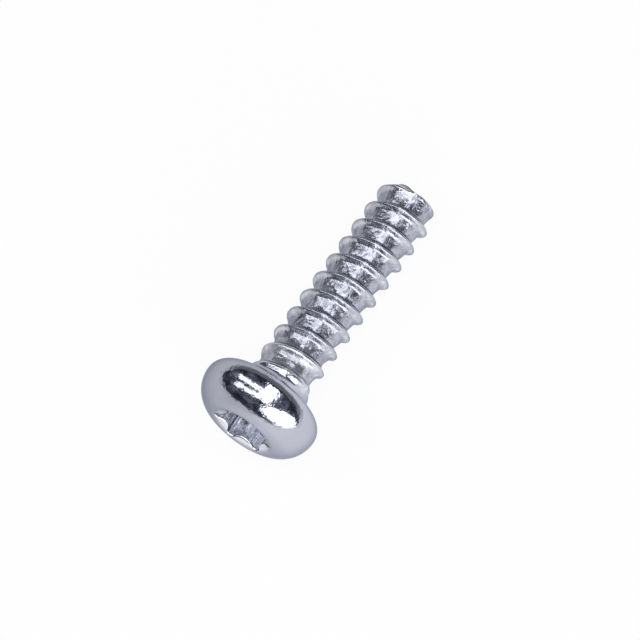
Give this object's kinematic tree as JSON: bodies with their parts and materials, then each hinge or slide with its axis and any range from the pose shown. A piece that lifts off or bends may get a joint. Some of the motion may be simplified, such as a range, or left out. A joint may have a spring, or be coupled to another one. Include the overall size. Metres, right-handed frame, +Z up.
{
  "type": "sheet metal screw",
  "caption": "Pan head sheet metal screw with a six-lobe recess, a coarse spaced thread and a blunt end, lying on its side.",
  "frame": {"origin": "middle of the bottom of the part's box, on the surface that the screw lies on", "axes": "+X towards the screw's end, +Z up; the screw's own axis slopes down from the head to the end, because it lies on the rim of its head and on the crest of its thread"},
  "size_m": [0.0186, 0.0076, 0.0076],
  "materials": {
    "zinc_plated_steel": "bright zinc plating with a slight blue tone, smooth on the head and uneven in the thread"
  },
  "bodies": {
    "root": {"screw": "zinc_plated_steel"}
  },
  "joints": []
}
